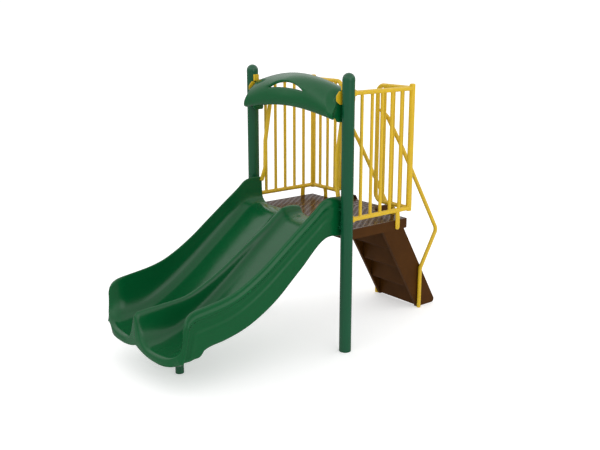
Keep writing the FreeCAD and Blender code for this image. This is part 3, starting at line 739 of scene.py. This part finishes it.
def side_plate(builder, outline, corner, inner, thick, edge):
    """Plate across X from a (station, height) outline; thick is signed like inner."""
    face = [Vector((inner, p.x, p.y)) for p in rounded_outline(outline, corner)]
    extrude(builder, face, (thick, 0, 0), edge)


for side, sign in SIDES.items():
    wall = Builder()
    side_plate(wall, HOOD_END, 9, sign * 476.5, sign * 26.5, 4.0)
    piece(f"{side}_hood_end", wall.points, wall.faces, MOULDED, [f"{side}_hood_end"], 50)


# --- rails and pipes -----------------------------------------------------------------------------

RAIL = 16.7
BAR = 12.2
DECK_HALF = 557
DECK_REAR = 613
BARRIER_X = 563.0
BARRIER_REAR = 621.0
TOP_RAIL = 1884.0
BOTTOM_RAIL = 991.0
FIRST_BAR = 125
BAR_PITCH = 97.5
WELD = 3.4


def welded_bar(builder, x, station):
    """Upright between the rails, whose ends flare into fillet welds on them."""
    seat = math.sqrt(RAIL**2 - BAR**2) - 1
    span = TOP_RAIL - BOTTOM_RAIL
    rises = [0, 3.0, 5.2, 7.5]
    radii = [BAR + WELD, BAR + WELD * 0.8, BAR + WELD * 0.25, BAR]
    heights = [BOTTOM_RAIL + seat + rise for rise in rises]
    heights += [BOTTOM_RAIL + span * share for share in (0.25, 0.5, 0.75)]
    heights += [TOP_RAIL - seat - rise for rise in rises[::-1]]
    path = [(x, station, z) for z in heights]
    sweep(builder, path, radii + [BAR] * 3 + radii[::-1], sides=28)


def collar_weld(builder, centre, axis):
    """Bead of weld round a rail where it meets a corner tube."""
    bead = [(0, RAIL), (0, RAIL + WELD), (2.7, RAIL + WELD * 0.7), (6, RAIL + 0.3), (6, RAIL - 1)]
    lathe(builder, centre, axis, bead, sides=28)


CORNER_BASE = 969
CORNER_PROFILE = [(0, 14), (0.6, 18), (2.5, 20.6), (5, 21.5), (300, 21.5), (600, 21.5), (940, 21.5),
                  (944, 20.9), (947.2, 18.4), (948.8, 13), (949, 6)]
CORNER_FACE = 20.2
HOOP_BEND = 62

for side, sign in SIDES.items():
    corner = Builder()
    lathe(corner, (sign * BARRIER_X, BARRIER_REAR, CORNER_BASE), UP, CORNER_PROFILE, sides=40)
    piece(f"{side}_corner_tube", corner.points, corner.faces, YELLOW, [f"{side}_corner_tube"])
    for name, height in (("top", TOP_RAIL), ("bottom", BOTTOM_RAIL)):
        rail = Builder()
        sweep(rail, [(sign * BARRIER_X, s, height) for s in (64.45, 66, 200, 400, 596, 605)], RAIL, sides=36)
        collar_weld(rail, (sign * BARRIER_X, BARRIER_REAR - CORNER_FACE, height), (0, -1, 0))
        piece(f"{side}_{name}_rail", rail.points, rail.faces, YELLOW, [f"{side}_{name}_rail"])
    for i in range(5):
        bar = Builder()
        welded_bar(bar, sign * BARRIER_X, FIRST_BAR + BAR_PITCH * i)
        piece(f"{side}_bar_{i + 1}", bar.points, bar.faces, YELLOW, [f"{side}_bar_{i + 1}"])

    hoop = Builder()
    outer = sign * (BARRIER_X - 15)
    inner = sign * 206.0
    corners = [(outer, BARRIER_REAR, TOP_RAIL), (inner, BARRIER_REAR, TOP_RAIL),
               (inner, BARRIER_REAR, BOTTOM_RAIL), (outer, BARRIER_REAR, BOTTOM_RAIL)]
    sweep(hoop, fillet_path(corners, HOOP_BEND, 14), RAIL, sides=36)
    for height in (TOP_RAIL, BOTTOM_RAIL):
        collar_weld(hoop, (sign * (BARRIER_X - CORNER_FACE), BARRIER_REAR, height), (-sign, 0, 0))
    piece(f"{side}_rear_hoop", hoop.points, hoop.faces, YELLOW, [f"{side}_rear_hoop"])
    low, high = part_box(f"{side}_rear_bars")
    first = low.x / MM + BAR
    last = high.x / MM - BAR
    bars = Builder()
    for i in range(3):
        welded_bar(bars, first + (last - first) * i / 2, BARRIER_REAR)
    piece(f"{side}_rear_bars", bars.points, bars.faces, YELLOW, [f"{side}_rear_bars"])


# Height, half-width, half-thickness and distance from the skirt of the pressed pipe.
LEG_SECTIONS = [(842.5, 4, 5.5, 6.5), (844, 10, 6, 6.5), (848, 15.5, 6.4, 6.5), (854, 19, 6.5, 6.5),
                (863, 21, 6.5, 6.5), (905, 21, 6.5, 6.5), (935, 20.5, 6.6, 6.3), (955, 20, 7.5, 5),
                (968, 19.5, 9, 3), (977, 19, 10, 2)]
LEG_SIDES = 28


def flat_leg(name, face, across, outward):
    """Pipe leg pressed flat below the rail, with a round foot bolted to the deck's skirt."""
    builder = Builder()
    face = Vector(face)
    across = Vector(across)
    outward = Vector(outward)
    rows = []
    for z, half, thick, out in LEG_SECTIONS:
        row = []
        for j in range(LEG_SIDES):
            a = 2 * math.pi * j / LEG_SIDES
            # a squared ellipse
            wide = math.copysign(abs(math.cos(a)) ** 0.6, math.cos(a))
            deep = math.copysign(abs(math.sin(a)) ** 0.6, math.sin(a))
            row.append(face + across * half * wide + outward * (out + thick * deep) + Vector((0, 0, z)))
        rows.append(row)
    builder.grid(rows, closed=True, cap_start=True, cap_end=True)
    piece(name, builder.points, builder.faces, YELLOW, [name], 50)


for side, sign in SIDES.items():
    flat_leg(f"{side}_side_leg", (sign * DECK_HALF, 508, 0), (0, 1, 0), (sign, 0, 0))
    flat_leg(f"{side}_rear_leg", (sign * 395, DECK_REAR, 0), (1, 0, 0), (0, 1, 0))

# Cups that hold the rails against the backs of the posts.
CUP_PROFILE = [(0, 22), (0, 23.6), (20, 23.6), (25, 23.4), (27.6, 22), (28.4, 19.5), (28.4, 16.9), (26, 16.9)]
clamps = Builder()
for side, sign in SIDES.items():
    for height in (TOP_RAIL, BOTTOM_RAIL):
        lathe(clamps, (sign * BARRIER_X, 36, height), (0, 1, 0), CUP_PROFILE, sides=36)
piece("rail_clamps", clamps.points, clamps.faces, YELLOW, ["rail_clamps"])

# Crossbar behind the hood, with its end plates.
CROSSBAR = (86, 1836)
bar = Builder()
sweep(bar, [(x, *CROSSBAR) for x in (-509.8, -508, -250, 0, 250, 508, 509.8)],
      [15.7, RAIL, RAIL, RAIL, RAIL, RAIL, 15.7], sides=36)
piece("crossbar", bar.points, bar.faces, YELLOW, ["crossbar"])
EAR = [(-70, 1832), (-42, 1808), (78, 1794), (106, 1818), (106, 1854), (78, 1878), (-42, 1900), (-70, 1868)]
BRACKET = [(-22, 1901), (22, 1901), (22, 1950), (-22, 1950)]

for side, sign in SIDES.items():
    ear = Builder()
    side_plate(ear, EAR, 9, sign * 510.1, sign * 5.8, 1.4)
    piece(f"{side}_hood_ear", ear.points, ear.faces, YELLOW, [f"{side}_hood_ear"])

brackets = Builder()
for side, sign in SIDES.items():
    side_plate(brackets, BRACKET, 5, sign * 503.9, sign * 17, 2.0)
piece("hood_brackets", brackets.points, brackets.faces, YELLOW, ["hood_brackets"])

# Corners of the bent pipes as (distance from the middle, station, height).
HANDHOLD = [(428, 84, 1818), (428, 20, 1440), (428, 16, 1225), (464, 6, 1122)]
HANDHOLD_BEND = 90
HANDRAIL = [(214, 641, 1702), (254, 683, 1640), (254, 858, 1377), (254, 1286, 655), (254, 1108, 345),
            (254, 1108, 0)]
HANDRAIL_BEND = 55
GRIP_R = 16.0

for side, sign in SIDES.items():
    grip = Builder()
    path = fillet_path([(sign * x, station, z) for x, station, z in HANDHOLD], HANDHOLD_BEND, 12)
    sweep(grip, path, GRIP_R, sides=30)
    piece(f"{side}_handhold", grip.points, grip.faces, YELLOW, [f"{side}_handhold"])
    rail = Builder()
    path = fillet_path([(sign * x, station, z) for x, station, z in HANDRAIL], HANDRAIL_BEND, 12)
    sweep(rail, path, GRIP_R, sides=30)
    piece(f"{side}_handrail", rail.points, rail.faces, YELLOW, [f"{side}_handrail"])


# --- deck and stair ------------------------------------------------------------------------------

DECK_FRONT = 16
DECK_TOP, DECK_THICK = 914, 5
NOTCH_X, NOTCH_STATION = 500, 52
DEEP_TREAD = 160
CELL_POINTS = 20
SLOT_EASE = 1.0


def slot_cell(half_x, half_s, length, width, along_x):
    """One cell of the pattern: its outer rim and the round-ended slot in it, point for point."""
    hole, rim = [], []
    for k in range(CELL_POINTS):
        a = 2 * math.pi * (k + 0.5) / CELL_POINTS
        c, d = math.cos(a), math.sin(a)
        if along_x:
            hole.append((math.copysign((length - width) / 2, c) + width / 2 * c, width / 2 * d))
        else:
            hole.append((width / 2 * c, math.copysign((length - width) / 2, d) + width / 2 * d))
        scale = 1 / max(abs(c), abs(d))
        rim.append([half_x * c * scale, half_s * d * scale])
    # the points nearest the cell's corners move out to them
    for k in (2, 7, 12, 17):
        rim[k] = [math.copysign(half_x, rim[k][0]), math.copysign(half_s, rim[k][1])]
    return hole, rim


def perforated(builder, x0, x1, s0, s1, z0, z1, columns, rows, length, width, margin, along_x, notch=None):
    """Sheet with a grid of round-ended slots, which miss each other's lines in every other column."""
    cell_x = (x1 - x0 - 2 * margin) / columns
    cell_s = (s1 - s0 - 2 * margin) / rows
    hole, rim = slot_cell(cell_x / 2, cell_s / 2, length, width, along_x)
    grow_x = 1 + 2 * SLOT_EASE / (length if along_x else width)
    grow_s = 1 + 2 * SLOT_EASE / (width if along_x else length)
    for i in range(columns):
        shift = cell_s / 2 if (i % 2 and not along_x) else 0
        centres = [s0 + margin + cell_s * (j + 0.5) + shift for j in range(rows - (1 if shift else 0))]
        cx = x0 + margin + cell_x * (i + 0.5)
        plain = []
        if shift:
            plain = [(s0 + margin, s0 + margin + shift), (s1 - margin - shift, s1 - margin)]
        for cs in centres:
            if notch and notch(cx, cs, cell_x, cell_s):
                plain.append((cs - cell_s / 2, cs + cell_s / 2))
                continue
            rings = [[(cx + x, cs + s, z1) for x, s in rim],
                     [(cx + x * grow_x, cs + s * grow_s, z1) for x, s in hole],
                     [(cx + x, cs + s, z1 - SLOT_EASE) for x, s in hole],
                     [(cx + x, cs + s, z0) for x, s in hole],
                     [(cx + x, cs + s, z0) for x, s in rim]]
            builder.grid(rings, closed=True)
        for low, high in plain:
            for z, order in ((z1, [0, 1, 2, 3]), (z0, [3, 2, 1, 0])):
                builder.add([(cx - cell_x / 2, low, z), (cx + cell_x / 2, low, z), (cx + cell_x / 2, high, z),
                             (cx - cell_x / 2, high, z)], [order])
    frame_rows = []
    for inset, z in ((margin, z1), (1.5, z1), (0, z1 - 1.5), (0, z0), (margin, z0)):
        a, b, c, d = x0 + inset, x1 - inset, s0 + inset, s1 - inset
        frame_rows.append([(a, c, z), (b, c, z), (b, d, z), (a, d, z)])
    builder.grid(frame_rows, closed=True)


def beside_post(x, station, width, depth):
    """Whether a cell of the deck lies where the post passes through, so that it has no slot."""
    return abs(x) + width / 2 > NOTCH_X and station - depth / 2 < NOTCH_STATION


deck = Builder()
perforated(deck, -DECK_HALF, DECK_HALF, DECK_FRONT, DECK_REAR, DECK_TOP - DECK_THICK, DECK_TOP,
           columns=44, rows=9, length=46, width=11.5, margin=16, along_x=False, notch=beside_post)
piece("deck_plate", deck.points, deck.faces, DECKING, ["deck_plate"])


def cad_surface(name, material, width):
    """A plate that keeps its CAD mesh, with eased edges and a finish."""
    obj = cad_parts[name]
    obj.data.materials.clear()
    obj.data.materials.append(material)
    bevel = obj.modifiers.new("eased", "BEVEL")
    bevel.width = width * MM
    bevel.segments = 3
    bevel.limit_method = "ANGLE"
    bevel.angle_limit = math.radians(40)


for name in ("front_fascia", "rear_fascia", "right_fascia", "left_fascia", "right_stringer", "left_stringer"):
    cad_surface(name, BROWN, 2.0)
for i in range(1, 5):
    cad_surface(f"riser_{i}", BROWN, 1.2)
for name in [f"tread_{i}" for i in range(1, 5)] + ["landing_step"]:
    low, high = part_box(name)
    rows = 6 if high.y - low.y > DEEP_TREAD * MM else 5
    tread = Builder()
    perforated(tread, low.x / MM, high.x / MM, low.y / MM - POST_STATION, high.y / MM - POST_STATION,
               low.z / MM, high.z / MM, columns=8, rows=rows, length=40, width=12, margin=14, along_x=True)
    piece(name, tread.points, tread.faces, DECKING, [name])


# --- bolts ---------------------------------------------------------------------------------------

BOLT_R, BOLT_RISE = 14.0, 6.3
SPACER_PROFILE = [(0, 11.5), (0.5, 13), (12, 13), (18, 13), (18, 8)]

leg_bolts = Builder()
head = [(0, BOLT_R * 0.9), (0.4, BOLT_R)]
for a in np.linspace(0.1, math.pi / 2 - 0.25, 7):
    head.append((0.6 + BOLT_RISE * math.sin(a), BOLT_R * math.cos(a)))
for side, sign in SIDES.items():
    lathe(leg_bolts, (sign * 570, 508, 863), (sign, 0, 0), head, sides=28)
piece("leg_bolts", leg_bolts.points, leg_bolts.faces, YELLOW, ["leg_bolts"])
spacers = Builder()
for side, sign in SIDES.items():
    for height in (1064, 934):
        lathe(spacers, (sign * 505.5, -13, height), (sign, 0, 0), SPACER_PROFILE, sides=28)
piece("slide_spacers", spacers.points, spacers.faces, POST_GREEN, ["slide_spacers"])


# --- floor, light and camera ---------------------------------------------------------------------

FLOOR_HALF = 60
FLOOR_Z = -0.0004
# Grey of the light's dome by height: 0 is straight down, 0.5 the horizon and 1 straight up.
DOME_LOW = (0.53, 0.26)
DOME_MIDDLE = (0.63, 0.50)
DOME_BRIGHT = (0.74, 1.0)
DOME_TOP = (1.0, 0.55)
DOME_STRENGTH = 1.40
BACKDROP_STRENGTH = 1.05
CAMERA_PLACE = (4.8365, -3.8140, 2.4435)
CAMERA_PITCH = 14.482
CAMERA_TURN = 51.198
CAMERA_LENS = 50.25


def build_floor():
    """Pale floor that takes soft shadows and does not show in reflections."""
    mesh = bpy.data.meshes.new("floor")
    corners = [(x * FLOOR_HALF, y * FLOOR_HALF, FLOOR_Z) for x, y in ((-1, -1), (1, -1), (1, 1), (-1, 1))]
    mesh.from_pydata(corners, [], [[0, 1, 2, 3]])
    floor = bpy.data.objects.new("floor", mesh)
    bpy.context.scene.collection.objects.link(floor)
    pale = bpy.data.materials.new("pale_floor")
    pale.use_nodes = True
    shader = pale.node_tree.nodes["Principled BSDF"]
    shader.inputs["Base Color"].default_value = (0.80, 0.80, 0.80, 1)
    shader.inputs["Emission Color"].default_value = (1, 1, 1, 1)
    shader.inputs["Emission Strength"].default_value = 0.42
    shader.inputs["Roughness"].default_value = 0.75
    shader.inputs["Specular IOR Level"].default_value = 0.1
    mesh.materials.append(pale)
    floor.visible_glossy = False


def build_world():
    """White backdrop for the camera, and a grey dome that lights the part."""
    world = bpy.data.worlds.new("studio")
    bpy.context.scene.world = world
    world.use_nodes = True
    nodes = world.node_tree.nodes
    links = world.node_tree.links
    nodes.clear()
    coords = nodes.new("ShaderNodeTexCoord")
    split = nodes.new("ShaderNodeSeparateXYZ")
    links.new(coords.outputs["Generated"], split.inputs["Vector"])
    raised = nodes.new("ShaderNodeMapRange")
    raised.inputs["From Min"].default_value = -1.0
    links.new(split.outputs["Z"], raised.inputs["Value"])
    ramp = nodes.new("ShaderNodeValToRGB")
    elements = ramp.color_ramp.elements
    elements[0].position = DOME_LOW[0]
    elements[1].position = DOME_TOP[0]
    elements[0].color = (*[DOME_LOW[1]] * 3, 1)
    elements[1].color = (*[DOME_TOP[1]] * 3, 1)
    for place, grey in (DOME_BRIGHT, DOME_MIDDLE):
        elements.new(place).color = (grey, grey, grey, 1)
    links.new(raised.outputs["Result"], ramp.inputs["Fac"])
    dome = nodes.new("ShaderNodeBackground")
    dome.inputs["Strength"].default_value = DOME_STRENGTH
    links.new(ramp.outputs["Color"], dome.inputs["Color"])
    backdrop = nodes.new("ShaderNodeBackground")
    backdrop.inputs["Color"].default_value = (1, 1, 1, 1)
    backdrop.inputs["Strength"].default_value = BACKDROP_STRENGTH
    ray = nodes.new("ShaderNodeLightPath")
    blend = nodes.new("ShaderNodeMixShader")
    links.new(ray.outputs["Is Camera Ray"], blend.inputs["Fac"])
    links.new(dome.outputs["Background"], blend.inputs[1])
    links.new(backdrop.outputs["Background"], blend.inputs[2])
    output = nodes.new("ShaderNodeOutputWorld")
    links.new(blend.outputs["Shader"], output.inputs["Surface"])


def softbox(name, place, target, size, power):
    """Square lamp that gives soft light and no reflection of its own."""
    light = bpy.data.lights.new(name, "AREA")
    light.shape = "RECTANGLE"
    light.size = size
    light.size_y = size
    light.energy = power
    light.specular_factor = 0.0
    obj = bpy.data.objects.new(name, light)
    obj.location = place
    obj.rotation_euler = (Vector(target) - Vector(place)).to_track_quat("-Z", "Y").to_euler()
    bpy.context.scene.collection.objects.link(obj)


def build_camera():
    """The photo's camera, found by fitting it to the part."""
    lens = bpy.data.cameras.new("camera")
    lens.sensor_width = 36.0
    lens.sensor_fit = "HORIZONTAL"
    lens.lens = CAMERA_LENS
    lens.clip_end = 300
    camera = bpy.data.objects.new("camera", lens)
    camera.location = CAMERA_PLACE
    camera.rotation_euler = (math.radians(90 - CAMERA_PITCH), 0, math.radians(CAMERA_TURN))
    bpy.context.scene.collection.objects.link(camera)
    bpy.context.scene.camera = camera


build_floor()
build_world()
softbox("overhead", (0.0, 0.3, 5.5), (0, 0, 0.5), 3.0, 6)
softbox("key", (6.0, -1.0, 3.2), (0, 0, 0.8), 3.5, 30)
build_camera()
bpy.context.scene.view_settings.view_transform = "Standard"
bpy.context.scene.view_settings.look = "None"
